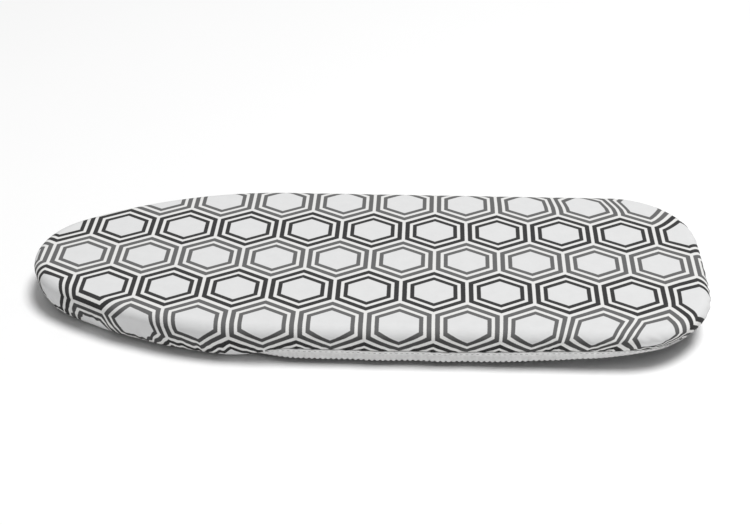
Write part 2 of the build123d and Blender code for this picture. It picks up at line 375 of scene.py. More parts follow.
ELASTIC_REACH = 0.085  # how broadly the taut elastic cuts a corner
ELASTIC_DRAW = 0.47  # share of the way to its taut line that it pulls the cloth
SEAM_ABOVE = 0.0018  # the seam over the hem's nominal upper edge
SEAM_RISE = 0.0030  # and more near the tail corners
HEM_RISE = 0.0010  # lift of the whole hanging hem
SIDE_RISE = 0.0036  # more of it along the tail half of the side
TURN_RISE = 0.0030  # and more again where the side turns into the corner
PULL_LIFT = 0.0028 / 0.016  # lift for each metre that the cloth is drawn in
TUG_POWER = 1.75
SLOW_WAVE = 0.0007  # height of the long waves along the side
SLIP = 0.035  # farthest slide of the cloth along the side
SLIP_PLACE = 0.045  # where that is, from the tail corner
SLIP_WIDTH = 0.075
SLIDE_START = 0.028  # the slide fades in from this far inside the rounded edge
SLIDE_RUN = 0.056


class Edge:
    """Everything that varies round the board's edge, at evenly spaced places."""

    def __init__(self, shape, count):
        self.count = count
        self.points, self.normals, self.around = plan_loop(shape, count)
        self.total = self.around[1] * count
        x = self.points[:, 0]
        self.under = 1.0 - smooth_step(x, *NOSE_HEM)
        taut = taut_loop(self.points, self.around, ELASTIC_REACH)
        begun = smooth_step(x, *ELASTIC_BEGINS)[:, None]
        self.pull = ELASTIC_DRAW * (taut - self.points) * begun
        self.seam = (HEM_HIGH.z + SEAM_ABOVE + SEAM_RISE * hill(x, *SEAM_RISES))[:, None]
        self.pulled = np.linalg.norm(self.pull, axis=1)[:, None]
        risen = HEM_RISE + SIDE_RISE * hill(x, *SIDE_RISES) + TURN_RISE * hill(x, *TURN_RISES)
        self.raised = (risen * (1 - self.under))[:, None]
        self.radius = shape.edge_radius
        self.slow = SLOW_WAVE * ripples(self.around, self.total, 0.30, 0.06, 23)[:, None]

    @staticmethod
    def tug(depth):
        """Share of the pull that the cloth has followed at a depth below the top."""
        return depth**TUG_POWER

    def lift(self, depth):
        """How far the drawn-in cloth rises."""
        return (PULL_LIFT * self.pulled + self.raised) * depth**2

    def slip(self):
        """How far the cloth's lower edge has slid from each tail corner along the side."""
        tail = self.total / 2
        middle = np.argmax(self.points[:, 0] + self.points[:, 1])
        from_corner = tail - self.around[middle]
        near = np.abs(self.around - tail) - from_corner
        side = np.where(self.around < tail, 1.0, -1.0)
        return (SLIP * side * np.exp(-0.5 * ((near - SLIP_PLACE) / SLIP_WIDTH) ** 2))[:, None]

    @staticmethod
    def slide(run):
        """Share of the slip at a distance past the flat top, less than zero on it."""
        return np.clip((run + SLIDE_START) / SLIDE_RUN, 0.0, 1.2) ** 1.3

    def pad_outer(self, skin):
        """Inset and height of the pad's outside, skin inside the cloth."""
        open_path, _ = self.side_profile()
        path = open_path[open_path[:, 1] > PAD_LOW.z + 0.001] + np.array([skin, 0.0])
        path[:, 1] = np.minimum(path[:, 1], TOP_Z - skin)
        return np.concatenate([path, [[path[-1, 0] + 0.0005, PAD_LOW.z]]])

    def side_profile(self):
        """Inset and height of each ring down the side, for an open hem and a turned-under one."""
        r = self.radius
        a = np.linspace(0.0, math.pi / 2, EDGE_RINGS)
        top = np.column_stack([r * (1 - np.sin(a)), TOP_Z - r * (1 - np.cos(a))])
        t = np.linspace(0.0, 1.0, SIDE_RINGS + 1)[1:]
        h = np.linspace(0.0, 1.0, TUCK_RINGS + 1)[1:]

        drop = TOP_Z - r - SEAM_Z
        inset = drop * (LEAN_TOP * t + (LEAN_FOOT - LEAN_TOP) * t * t / 2)
        open_side = np.column_stack([inset, TOP_Z - r - drop * t])
        open_tuck = open_side[-1] + np.outer(h, TUCK)

        deep = TOP_Z - r - (HEM_Z + HEM_FOLD)
        inset = deep * (LEAN_TOP * 0.7 * t + UNDER_LEAN * t**3)
        under_side = np.column_stack([inset, TOP_Z - r - deep * t])
        turn = h * math.pi / 2
        in_under = HEM_FOLD * (1 - np.cos(turn)) + UNDER_REACH * h * h
        below = -HEM_FOLD * np.sin(turn) + 0.0008 * h**3
        under_tuck = under_side[-1] + np.column_stack([in_under, below])

        open_path = np.concatenate([top, open_side, open_tuck])
        under_path = np.concatenate([top, under_side, under_tuck])
        return open_path, under_path


def run_lengths(path):
    """Distance along a profile at each of its points."""
    steps = np.linalg.norm(np.diff(path, axis=0), axis=1)
    return np.concatenate([[0.0], np.cumsum(steps)])


CLOTH_COUNT = 1080  # points round the cover
CORE_RINGS = 13  # rings between the centre line and the rounded edge
JAG = 0.0030  # zigzag of the print along the seam
CREEP = 0.0024  # and across it
BEND = 0.0022  # slow bends of the print down the side
FOLD = 0.00050  # height of the long soft folds


def centre_line(x):
    """X on the board's centre line that a place on its edge is joined to."""
    return np.clip(x, COVER_LOW.x + 0.10, COVER_HIGH.x - 0.12)


class Cloth:
    """The cover's surface as rings from the board's centre line down to the sewn edge."""

    def __init__(self, shape, cover):
        edge = Edge(shape, CLOTH_COUNT)
        self.edge = edge
        open_path, under_path = edge.side_profile()
        open_run = run_lengths(open_path)
        under_run = run_lengths(under_path)
        u = edge.under[:, None]
        inset = (1 - u) * open_path[:, 0] + u * under_path[:, 0]
        height = (1 - u) * open_path[:, 1] + u * under_path[:, 1]
        run = (1 - u) * open_run + u * under_run
        depth = np.clip((TOP_Z - height) / (TOP_Z - HEM_Z), 0.0, 1.0)

        # puckers where the elastic draws the cotton in, strongest at the tail corners
        x = edge.points[:, 0]
        a = edge.around
        corner = smooth_step(x, 0.12, 0.27)
        nose = 1.0 - smooth_step(x, -0.22, -0.10)
        strength = 0.30 + 0.75 * corner + 0.35 * nose
        pucker = ripples(a, edge.total, 0.020, 0.0075, 11) * strength
        rise = np.clip((depth - 0.30) / 0.40, 0.0, 1.0) ** 1.7
        rise = rise * (1 - smooth_step(edge.seam - height, -0.0012, 0.0010))
        out = cover.gather * pucker[:, None] * rise

        # long soft folds that run down and back round the tail corners
        near_side = np.where(edge.points[:, 1] < 0, 1.0, -1.0)[:, None]
        folds = ripples(a[:, None] + 0.9 * run * near_side, edge.total, 0.026, 0.011, 5)
        window = smooth_step(x, 0.15, 0.24)[:, None] * smooth_step(depth, 0.02, 0.16)
        out = out + FOLD * folds * window * (1 - 0.5 * depth)
        out = out + edge.slow * smooth_step(depth, 0.05, 0.5)

        normals = edge.normals[:, None, :]
        around = edge.points[:, None, :]
        shift = edge.pull[:, None, :] * edge.tug(depth)[:, :, None]
        side_xy = around - normals * (inset - out)[:, :, None] + shift
        side_z = height + edge.lift(depth)

        core = side_xy[:, 0, :]
        anchor = np.column_stack([centre_line(core[:, 0]), np.zeros(edge.count)])
        share = 1 - (1 - np.linspace(0.0, 1.0, CORE_RINGS + 1)[:-1]) ** 1.6
        core_xy = anchor[:, None, :] + (core - anchor)[:, None, :] * share[None, :, None]
        core_z = TOP_Z + self.undulation(core_xy) * (1 - share[None, :] ** 6)

        xy = np.concatenate([core_xy, side_xy], axis=1)
        z = np.concatenate([core_z, side_z], axis=1)
        self.points = np.concatenate([xy, z[:, :, None]], axis=2)
        self.rings = self.points.shape[1]

        # flat pattern: where each point of the cloth lay before it was pulled over the board
        along = np.column_stack([edge.normals[:, 1], -edge.normals[:, 0]])[:, None, :]
        flat_side = around - normals * edge.radius + normals * run[:, :, None]
        flat_side = flat_side + along * (edge.slip() * edge.slide(run))[:, :, None]
        inward = -np.linalg.norm(core_xy - core[:, None, :], axis=2)
        flat_core = core_xy + along * (edge.slip() * edge.slide(inward))[:, :, None]
        jag = ripples(a, edge.total, 0.016, 0.007, 31) * strength
        creep = ripples(a, edge.total, 0.024, 0.009, 47) * strength
        grow = np.clip((depth - 0.42) / 0.34, 0.0, 1.0) ** 1.5
        flat_side = flat_side + along * (JAG * jag[:, None] * grow)[:, :, None]
        flat_side = flat_side + normals * (CREEP * creep[:, None] * grow)[:, :, None]
        wander = ripples(a, edge.total, 0.22, 0.05, 53) * (0.25 + corner + 0.5 * nose)
        bend = BEND * wander[:, None] * smooth_step(depth, 0.0, 0.6)
        flat_side = flat_side + along * bend[:, :, None]
        self.flat = np.concatenate([flat_core, flat_side], axis=1)

    @staticmethod
    def undulation(xy):
        """Slight hollows of the padded top, in metres."""
        x = xy[..., 0]
        y = xy[..., 1]
        wave = np.sin(9.1 * x + 3.2 * y + 0.4) * np.cos(14.0 * y - 5.0 * x)
        wave = wave + 0.6 * np.sin(23.0 * x - 11.0 * y + 1.7) + 0.4 * np.cos(31.0 * y + 17.0 * x)
        return 0.00022 * wave - 0.0002

    def build(self, name):
        """The cloth as an object with its flat pattern as UV map."""
        count = self.edge.count
        points = self.points.transpose(1, 0, 2).reshape(-1, 3)
        flat = self.flat.transpose(1, 0, 2).reshape(-1, 2)
        return add_mesh(name, points, ring_faces(count, self.rings), flat)


# ---- shader helpers -----------------------------------------------------------------------
class Net:
    """Adds and links the nodes of one tree."""

    def __init__(self, tree):
        self.tree = tree

    def add(self, kind, inputs=None, **options):
        node = self.tree.nodes.new(kind)
        for key, value in options.items():
            setattr(node, key, value)
        for key, value in (inputs or {}).items():
            self.put(node.inputs[key], value)
        return node

    def put(self, socket, value):
        if isinstance(value, bpy.types.NodeSocket):
            self.tree.links.new(value, socket)
        else:
            socket.default_value = value

    def maths(self, operation, a, b=0.0, c=0.0, clamp=False):
        node = self.add("ShaderNodeMath", {0: a, 1: b, 2: c}, operation=operation, use_clamp=clamp)
        return node.outputs[0]

    def vector(self, operation, a, b=(0.0, 0.0, 0.0)):
        node = self.add("ShaderNodeVectorMath", {0: a, 1: b}, operation=operation)
        return node.outputs[0]

    def scale(self, vector, factor):
        node = self.add("ShaderNodeVectorMath", {0: vector, "Scale": factor}, operation="SCALE")
        return node.outputs[0]

    def blend(self, factor, a, b, mode="MIX"):
        node = self.add("ShaderNodeMix", data_type="RGBA", blend_type=mode)
        for key, value in (("Factor", factor), ("A", a), ("B", b)):
            socket = [s for s in node.inputs if s.name == key and s.enabled][0]
            solid = isinstance(value, tuple) and len(value) == 3
            self.put(socket, (*value, 1.0) if solid else value)
        return [s for s in node.outputs if s.enabled][0]

    def tinted(self, colour, shade):
        """A colour multiplied by a shade that changes over the surface."""
        even = self.add("ShaderNodeCombineColor", {0: shade, 1: shade, 2: shade}).outputs[0]
        return self.blend(1.0, colour, even, "MULTIPLY")

    def noise(self, vector, scale, detail=2.0, roughness=0.5, output="Factor"):
        sizes = {"Vector": vector, "Scale": scale, "Detail": detail, "Roughness": roughness}
        node = self.add("ShaderNodeTexNoise", sizes)
        return node.outputs[0 if output == "Factor" else 1]

    def wander(self, vector, scale, detail, far):
        """An uneven push of up to about half of far in each direction."""
        push = self.noise(vector, scale, detail, output="Color")
        return self.scale(self.vector("SUBTRACT", push, (0.5, 0.5, 0.5)), far)

    def range(self, value, low, high, to_low=0.0, to_high=1.0):
        given = {"Value": value, "From Min": low, "From Max": high}
        given.update({"To Min": to_low, "To Max": to_high})
        return self.add("ShaderNodeMapRange", given, clamp=True).outputs[0]


def effect(name, sockets_in, sockets_out):
    """An empty shader group with named sockets; returns its net, inputs node and outputs node."""
    tree = bpy.data.node_groups.new(name, "ShaderNodeTree")
    for label, kind, value in sockets_in:
        socket = tree.interface.new_socket(label, in_out="INPUT", socket_type=kind)
        if value is not None:
            socket.default_value = value
    for label, kind in sockets_out:
        tree.interface.new_socket(label, in_out="OUTPUT", socket_type=kind)
    net = Net(tree)
    return net, net.add("NodeGroupInput"), net.add("NodeGroupOutput")


FLOAT = "NodeSocketFloat"
VECTOR = "NodeSocketVector"

# the print: bands and row spacing as shares of the pitch
OUTER_BAND = (0.4030, 0.4750)
INNER_BAND = (0.2920, 0.3550)
ROW = math.sqrt(3) / 2
FLAT_SIDES = (0.917, 0.0447)  # the slanting sides lie a little nearer than in a true hexagon


def shared(name, make):
    """The named effect group, made the first time that it is asked for."""
    return bpy.data.node_groups.get(name) or make(name)


def hexagon_print(name):
    """Two interleaved grids of hexagons, each with an outer and an inner inked band."""
    net, into, out = effect(
        name,
        [("Vector", VECTOR, None), ("Pitch", FLOAT, 0.077), ("Softness", FLOAT, 0.007)],
        [("Ink", FLOAT), ("Dark row", FLOAT), ("Inside", FLOAT)],
    )
    place = net.scale(into.outputs["Vector"], net.maths("DIVIDE", 1.0, into.outputs["Pitch"]))
    split = net.add("ShaderNodeSeparateXYZ", {0: place})
    reach = []
    for step_x, step_y in ((0.0, 0.0), (0.5, ROW)):
        x = net.maths("WRAP", net.maths("ADD", split.outputs[0], step_x), 0.5, -0.5)
        y = net.maths("WRAP", net.maths("ADD", split.outputs[1], step_y), ROW, -ROW)
        x = net.maths("ABSOLUTE", x)
        y = net.maths("ABSOLUTE", y)
        slope = net.maths("MULTIPLY_ADD", y, ROW, net.maths("MULTIPLY", x, 0.5))
        slope = net.maths("MULTIPLY_ADD", slope, *FLAT_SIDES)
        reach.append(net.maths("MAXIMUM", x, slope))
    near = net.maths("MINIMUM", reach[0], reach[1])
    soft = into.outputs["Softness"]

    def band(inner, outer):
        middle = (inner + outer) / 2
        away = net.maths("ABSOLUTE", net.maths("SUBTRACT", near, middle))
        edge = net.maths("DIVIDE", net.maths("SUBTRACT", (outer - inner) / 2, away), soft)
        return net.maths("ADD", edge, 0.5, clamp=True)

    ink = net.maths("MAXIMUM", band(*OUTER_BAND), band(*INNER_BAND))
    within = net.maths("DIVIDE", net.maths("SUBTRACT", INNER_BAND[0], near), soft)
    inside = net.maths("ADD", within, 0.5, clamp=True)
    net.put(out.inputs["Ink"], ink)
    net.put(out.inputs["Dark row"], net.maths("LESS_THAN", reach[0], reach[1]))
    net.put(out.inputs["Inside"], inside)
    return net.tree


def twill_weave(name):
    """Fine diagonal ribs crossed by threads: a height and a shade from 0 to 1."""
    net, into, out = effect(
        name,
        [("Vector", VECTOR, None), ("Rib", FLOAT, 0.0011), ("Slub", FLOAT, 0.5)],
        [("Height", FLOAT), ("Shade", FLOAT)],
    )
    vector = into.outputs["Vector"]
    wobble = net.noise(vector, 420.0, 2.0)
    split = net.add("ShaderNodeSeparateXYZ", {0: vector})
    turn = net.maths("DIVIDE", 2 * math.pi, into.outputs["Rib"])
    x = net.maths("MULTIPLY", split.outputs[0], turn)
    y = net.maths("MULTIPLY", split.outputs[1], turn)
    drift = net.maths("MULTIPLY", wobble, into.outputs["Slub"])
    rib = net.maths("SINE", net.maths("ADD", net.maths("MULTIPLY_ADD", x, 0.62, y), drift))
    thread = net.maths("SINE", net.maths("MULTIPLY", x, 2.0))
    cross = net.maths("SINE", net.maths("MULTIPLY", y, 2.0))
    cloth = net.maths("MULTIPLY", thread, cross)
    height = net.maths("MULTIPLY_ADD", rib, 0.32, net.maths("MULTIPLY_ADD", cloth, 0.16, 0.5))
    net.put(out.inputs["Height"], height)
    net.put(out.inputs["Shade"], net.maths("MULTIPLY_ADD", rib, 0.5, 0.5))
    return net.tree


def surface_grain(name):
    """Uneven colour, small scuffs and a fine grain for painted, plated and moulded pieces."""
    sizes = [("Grain", FLOAT, 900.0), ("Patches", FLOAT, 18.0), ("Scuffs", FLOAT, 0.3)]
    net, into, out = effect(
        name,
        [("Vector", VECTOR, None), *sizes],
        [("Height", FLOAT), ("Patch", FLOAT), ("Scuff", FLOAT)],
    )
    vector = into.outputs["Vector"]
    grain = net.noise(vector, into.outputs["Grain"], 3.0, 0.6)
    patch = net.noise(vector, into.outputs["Patches"], 4.0, 0.55)
    streak = net.noise(net.vector("MULTIPLY", vector, (60.0, 260.0, 260.0)), 1.0, 5.0, 0.7)
    limit = net.maths("SUBTRACT", 0.78, net.maths("MULTIPLY", into.outputs["Scuffs"], 0.2))
    scuff = net.maths("MULTIPLY", net.maths("SUBTRACT", streak, limit), 9.0, clamp=True)
    net.put(out.inputs["Height"], grain)
    net.put(out.inputs["Patch"], net.range(patch, 0.3, 0.7))
    net.put(out.inputs["Scuff"], scuff)
    return net.tree


def fibre_fuzz(name):
    """Matted fibres in every direction: a height and a shade."""
    net, into, out = effect(
        name,
        [("Vector", VECTOR, None), ("Fibre", FLOAT, 320.0)],
        [("Height", FLOAT), ("Shade", FLOAT)],
    )
    vector = into.outputs["Vector"]
    fibre = into.outputs["Fibre"]
    bent = net.vector("ADD", vector, net.scale(net.noise(vector, 90.0, 2.0, output="Color"), 0.006))
    one = net.noise(net.vector("MULTIPLY", bent, (1.0, 0.22, 1.0)), fibre, 4.0, 0.65)
    two = net.noise(net.vector("MULTIPLY", bent, (0.22, 1.0, 1.0)), fibre, 4.0, 0.65)
    net.put(out.inputs["Height"], net.maths("MAXIMUM", one, two))
    net.put(out.inputs["Shade"], net.range(net.noise(vector, 26.0, 4.0), 0.3, 0.7))
    return net.tree


def new_material(name, roughness=0.6, metallic=0.0, **plain):
    """A material with a Principled surface; plain gives sockets that are the same all over."""
    material = bpy.data.materials.new(name)
    material.use_nodes = True
    net = Net(material.node_tree)
    surface = material.node_tree.nodes["Principled BSDF"]
    surface.inputs["Roughness"].default_value = roughness
    surface.inputs["Metallic"].default_value = metallic
    for key, value in plain.items():
        surface.inputs[key.replace("_", " ")].default_value = value
    return material, net, surface


def place_effect(net, make, name, **inputs):
    """One use of a shared effect group in a material."""
    node = net.add("ShaderNodeGroup", node_tree=shared(name, make))
    for key, value in inputs.items():
        net.put(node.inputs[key], value)
    return node


def bump(net, surface, height, distance, strength=1.0):
    """Feeds a height to the surface's normal."""
    node = net.add("ShaderNodeBump", {"Height": height, "Distance": distance, "Strength": strength})
    net.put(surface.inputs["Normal"], node.outputs[0])


# ---- materials ----------------------------------------------------------------------------
INK_SIDE_SHADE_DEPTHS = (0.013, 0.002)  # depths below the top between which the ink goes from its painted side shade to its full tone on top


def printed_cotton():
    """White cotton twill, printed with hexagons in charcoal and grey."""
    cover = settings().cover
    material, net, surface = new_material(
        "printed_cotton", 0.88, Sheen_Weight=0.04, Sheen_Roughness=0.5, Specular_IOR_Level=0.12
    )
    flat = net.add("ShaderNodeUVMap", uv_map=UV_NAME).outputs[0]
    origin = (-cover.print_x, -cover.print_y, 0.0)
    centred = net.add("ShaderNodeMapping", {"Vector": flat, "Location": origin}).outputs[0]
    moved = net.vector("ADD", centred, net.wander(flat, 900.0, 2.0, 0.0006))
    moved = net.vector("ADD", moved, net.wander(flat, 9.0, 1.0, 0.0012))
    ink = place_effect(net, hexagon_print, "hexagon_print", Vector=moved, Pitch=cover.pitch)
    weave = place_effect(net, twill_weave, "twill_weave", Vector=flat, Rib=cover.thread, Slub=2.0)

    ground = net.blend(ink.outputs["Inside"], tuple(cover.ground), tuple(cover.tint))
    mottle = net.range(net.noise(flat, 70.0, 5.0, 0.65), 0.25, 0.75, 0.965, 1.02)
    ground = net.tinted(ground, mottle)

    dark = net.blend(ink.outputs["Dark row"], tuple(cover.grey), tuple(cover.charcoal))
    # painted shade: the charcoal and grey inks are darker down the sides, where the cloth turns
    # away from the light and loses the sheen of the top
    place = net.add("ShaderNodeTexCoord").outputs["Object"]
    height = net.add("ShaderNodeSeparateXYZ", {0: place}).outputs[2]
    painted_side_shade = net.range(height, TOP_Z - INK_SIDE_SHADE_DEPTHS[0], TOP_Z - INK_SIDE_SHADE_DEPTHS[1], cover.side_ink_shade, 1.0)
    dark = net.tinted(dark, painted_side_shade)

    worn = net.range(net.noise(flat, 240.0, 4.0, 0.7), 0.30, 0.75, 1.0, 0.975)
    wet = net.maths("MULTIPLY", ink.outputs["Ink"], worn)
    lines = net.range(weave.outputs["Shade"], 0.0, 1.0, 1.0, 0.965)
    inked = net.maths("MULTIPLY", wet, lines)
    net.put(surface.inputs["Base Color"], net.blend(inked, ground, dark))
    bump(net, surface, weave.outputs["Height"], 0.00012, 0.7)
    return material


RIB_PITCH = 0.00155  # ribs across the elastic
RIDGE_PITCH = 0.00115  # ridges along it


def woven_elastic():
    """Light elastic tape, ribbed across and ridged along its length."""
    hem = settings().hem
    material, net, surface = new_material(
        "woven_elastic", 0.9, Sheen_Weight=0.15, Specular_IOR_Level=0.2
    )
    flat = net.add("ShaderNodeUVMap", uv_map=UV_NAME).outputs[0]
    split = net.add("ShaderNodeSeparateXYZ", {0: flat})
    rib = net.maths("SINE", net.maths("MULTIPLY", split.outputs[0], 2 * math.pi / RIB_PITCH))
    ridge = net.maths("SINE", net.maths("MULTIPLY", split.outputs[1], 2 * math.pi / RIDGE_PITCH))
    height = net.maths("MULTIPLY_ADD", rib, 0.30, net.maths("MULTIPLY_ADD", ridge, 0.2, 0.5))
    # random patches of tone, and painted shade: the tape is darker in the grooves between its ribs
    # and ridges
    patch = net.range(net.noise(flat, 160.0, 3.0), 0.3, 0.7, 0.88, 1.04)
    shade = net.maths("MULTIPLY", patch, net.range(height, 0.0, 1.0, 0.86, 1.05))
    net.put(surface.inputs["Base Color"], net.tinted(tuple(hem.elastic), shade))
    bump(net, surface, height, 0.0002, 0.8)
    return material


def sewing_thread():
    """Twisted polyester thread."""
    hem = settings().hem
    material, net, surface = new_material("sewing_thread", 0.7, Sheen_Weight=0.1)
    place = net.add("ShaderNodeTexCoord").outputs["Object"]
    twine = {"Vector": place, "Scale": 900.0, "Distortion": 2.0}
    twist = net.add("ShaderNodeTexWave", twine, bands_direction="DIAGONAL").outputs[1]
    pale = tuple(min(1.0, channel * 1.25) for channel in hem.yarn)
    net.put(surface.inputs["Base Color"], net.blend(twist, tuple(hem.yarn), pale))
    bump(net, surface, twist, 0.00008)
    return material


def needle_felt():
    """Off-white recycled felt."""
    felt = tuple(settings().hardware.felt)
    material, net, surface = new_material(
        "needle_felt", 0.97, Sheen_Weight=0.3, Specular_IOR_Level=0.1
    )
    place = net.add("ShaderNodeTexCoord").outputs["Object"]
    fuzz = place_effect(net, fibre_fuzz, "fibre_fuzz", Vector=place, Fibre=340.0)
    pale = tuple(min(1.0, channel * 1.18) for channel in felt)
    base = net.blend(fuzz.outputs["Shade"], felt, pale)
    flecks = net.range(net.noise(place, 480.0, 2.0), 0.66, 0.72)
    net.put(surface.inputs["Base Color"], net.blend(flecks, base, (0.16, 0.17, 0.20)))
    bump(net, surface, fuzz.outputs["Height"], 0.0006)
    return material


def coated_steel(name, tone, under, gloss, grain, roughness, metallic=0.0):
    """A painted, plated or plain metal with grain, patches and scuffs down to under."""
    material, net, surface = new_material(name, roughness, metallic)
    place = net.add("ShaderNodeTexCoord").outputs["Object"]
    skin = place_effect(net, surface_grain, "surface_grain", Vector=place, Grain=grain, Scuffs=0.35)
    deep = tuple(channel * 0.90 for channel in tone)
    base = net.blend(skin.outputs["Patch"], deep, tone)
    scuffed = net.maths("MULTIPLY", skin.outputs["Scuff"], 0.45)
    net.put(surface.inputs["Base Color"], net.blend(scuffed, base, under))
    rough = net.range(skin.outputs["Patch"], 0.0, 1.0, roughness + 0.08, roughness - gloss)
    net.put(surface.inputs["Roughness"], rough)
    bump(net, surface, skin.outputs["Height"], 0.00010, 0.6)
    return material


def moulded(name, tone, grain, roughness):
    """Moulded rubber or plastic with a fine grain and a little dust."""
    material, net, surface = new_material(name, roughness)
    place = net.add("ShaderNodeTexCoord").outputs["Object"]
    skin = place_effect(
        net, surface_grain, "surface_grain", Vector=place, Grain=grain, Patches=40.0, Scuffs=0.5
    )
    dusty = tuple(channel * 1.8 + 0.015 for channel in tone)
    base = net.blend(skin.outputs["Patch"], tone, dusty)
    scuffed = net.maths("MULTIPLY", skin.outputs["Scuff"], 0.3)
    net.put(surface.inputs["Base Color"], net.blend(scuffed, base, (0.2, 0.2, 0.2)))
    bump(net, surface, skin.outputs["Height"], 0.00015, 0.7)
    return material


# ---- hem ----------------------------------------------------------------------------------
HEM_COUNT = 2400  # points round the tape
HEM_RINGS = 9
TAPE_WALL = 0.0010  # thickness of the elastic
TAPE_WIDTH = 0.0115
PROUD = 0.0013  # the tape stands this far out of the cotton
NARROWED = 0.35  # share of its width that the tape loses where it is drawn in
NARROW_PULLS = (0.004, 0.014)  # pulls between which it does
TURNED_WIDTH = 0.0125  # how far the tape runs under the rim at the nose


class Hem:
    """The elastic tape: its places round the board and down its face."""

    def __init__(self, shape, hem):
        edge = Edge(shape, HEM_COUNT)
        self.edge = edge
        u = edge.under[:, None]
        t = np.linspace(0.0, 1.0, HEM_RINGS)[None, :]
        narrow = 1.0 - NARROWED * smooth_step(edge.pulled, *NARROW_PULLS)
        wave = ripples(edge.around, edge.total, 0.30, 0.04, 71)[:, None]
        pucker = ripples(edge.around, edge.total, 0.020, 0.008, 73)[:, None]
        pitch = self.tooth_pitch(edge.total, hem.tooth)
        teeth = np.abs(np.sin(math.pi * edge.around / pitch))[:, None]

        # hanging open, the tape follows the cotton behind it and never sinks into it
        fall = edge.seam - HEM_Z - 0.0010
        open_z = edge.seam - fall * t * narrow + 0.0004 * pucker * (1 - t)
        cotton, _ = edge.side_profile()
        behind = np.interp(-open_z, -cotton[:, 1], cotton[:, 0])
        open_inset = np.minimum(SEAM_INSET + (HEM_INSET - SEAM_INSET) * t, behind) - PROUD

        # turned under, it lies flat below the rim
        flat_inset = HEM_INSET + 0.0005 + TURNED_WIDTH * t * narrow
        flat_z = HEM_Z + 0.0008 + 0.0012 * (1 - t)

        inset = (1 - u) * open_inset + u * flat_inset + 0.0002 * wave * t - edge.slow
        z = (1 - u) * open_z + u * flat_z
        last = t**6 * (1 - teeth) * hem.tooth_depth
        z = z + last * (1 - u)
        inset = inset - last * u
        depth = np.clip((TOP_Z - z) / (TOP_Z - HEM_Z), 0.0, 1.0)
        shift = edge.pull[:, None, :] * edge.tug(depth)[:, :, None]
        xy = edge.points[:, None, :] - edge.normals[:, None, :] * inset[:, :, None] + shift
        z = z + edge.lift(depth)
        self.points = np.concatenate([xy, z[:, :, None]], axis=2)
        across = TAPE_WIDTH * np.broadcast_to(t, z.shape)
        self.flat = np.stack([np.broadcast_to(edge.around[:, None], z.shape), across], axis=2)

    @staticmethod
    def tooth_pitch(total, wanted):
        """The pitch nearest to wanted that goes round a whole number of times."""
        return total / round(total / wanted)

    def build(self, name):
        """The tape's outer face."""
        count = self.edge.count
        points = self.points.transpose(1, 0, 2).reshape(-1, 3)
        flat = self.flat.transpose(1, 0, 2).reshape(-1, 2)
        return add_mesh(name, points, ring_faces(count, HEM_RINGS), flat)

    def line(self, share, out):
        """A closed line along the tape, share of the way down it and out from its face."""
        place = share * (HEM_RINGS - 1)
        low = int(place)
        rest = place - low
        ring = self.points[:, low]
        down = self.points[:, low + 1] - ring
        normals = self.edge.normals
        along = np.column_stack([normals[:, 1], -normals[:, 0], np.zeros(len(ring))])
        face = np.cross(along, down)
        face = -face / np.linalg.norm(face, axis=1)[:, None]
        return ring + down * rest + face * out


def path_object(name, points):
    """A closed curve through the points."""
    curve = bpy.data.curves.new(name, "CURVE")
    curve.dimensions = "3D"
    spline = curve.splines.new("POLY")
    spline.points.add(len(points) - 1)
    spline.points.foreach_set("co", np.column_stack([points, np.ones(len(points))]).ravel())
    spline.use_cyclic_u = True
    line = bpy.data.objects.new(name, curve)
    bpy.context.scene.collection.objects.link(line)
    return line


class Grid:
    """Adds and links the nodes of one geometry tree."""

    def __init__(self, name, inputs):
        self.tree = bpy.data.node_groups.new(name, "GeometryNodeTree")
        for way in ("INPUT", "OUTPUT"):
            self.tree.interface.new_socket("Geometry", in_out=way, socket_type="NodeSocketGeometry")
        self.sockets = {}
        for label, kind, value in inputs:
            socket = self.tree.interface.new_socket(label, in_out="INPUT", socket_type=kind)
            if value is not None:
                socket.default_value = value
            self.sockets[label] = socket.identifier
        self.net = Net(self.tree)
        self.into = self.net.add("NodeGroupInput")
        self.out = self.net.add("NodeGroupOutput")

    def run(self, line, values):
        """Runs the tree on a curve and returns the plain mesh piece."""
        modifier = line.modifiers.new(self.tree.name, "NODES")
        modifier.node_group = self.tree
        for label, value in values.items():
            modifier[self.sockets[label]] = value
        return settle(line)


STITCH_SHARE = 0.62  # of the pitch that shows as thread
STITCH_LINE = 0.24  # share of the way down the tape where the row is sewn
THREAD_PROUD = 0.00012


def stitch_tree():
    """Short threads laid end to end along a line, each rounded off at its ends."""
    grid = Grid(
        "stitch_row",
        [
            ("Pitch", FLOAT, 0.006),
            ("Stitch", FLOAT, 0.0045),
            ("Thread", FLOAT, 0.0005),
            ("Seed", "NodeSocketInt", 3),
            ("Material", "NodeSocketMaterial", None),
        ],
    )
    net = grid.net
    given = grid.into.outputs
    line = {"Curve": given["Geometry"], "Length": given["Pitch"]}
    walk = net.add("GeometryNodeResampleCurve", line, mode="LENGTH")
    points = net.add("GeometryNodeCurveToPoints", {"Curve": walk.outputs[0]}, mode="EVALUATED")
    ball = {"Segments": 6, "Rings": 5, "Radius": 0.5}
    capsule = net.add("GeometryNodeMeshUVSphere", ball).outputs[0]
    spread = {2: 0.88, 3: 1.12, "Seed": given["Seed"]}
    wobble = net.add("FunctionNodeRandomValue", spread, data_type="FLOAT").outputs[1]
    long = net.maths("MULTIPLY", given["Stitch"], wobble)
    axes = {0: given["Thread"], 1: given["Thread"], 2: long}
    size = net.add("ShaderNodeCombineXYZ", axes).outputs[0]
    placed = net.add(
        "GeometryNodeInstanceOnPoints",
        {
            "Points": points.outputs["Points"],
            "Instance": capsule,
            "Rotation": points.outputs["Rotation"],
            "Scale": size,
        },
    )
    real = net.add("GeometryNodeRealizeInstances", {0: placed.outputs[0]})
    smooth = net.add("GeometryNodeSetShadeSmooth", {"Geometry": real.outputs[0]})
    finish = {"Geometry": smooth.outputs[0], "Material": given["Material"]}
    done = net.add("GeometryNodeSetMaterial", finish)
    net.put(grid.out.inputs[0], done.outputs[0])
    return grid


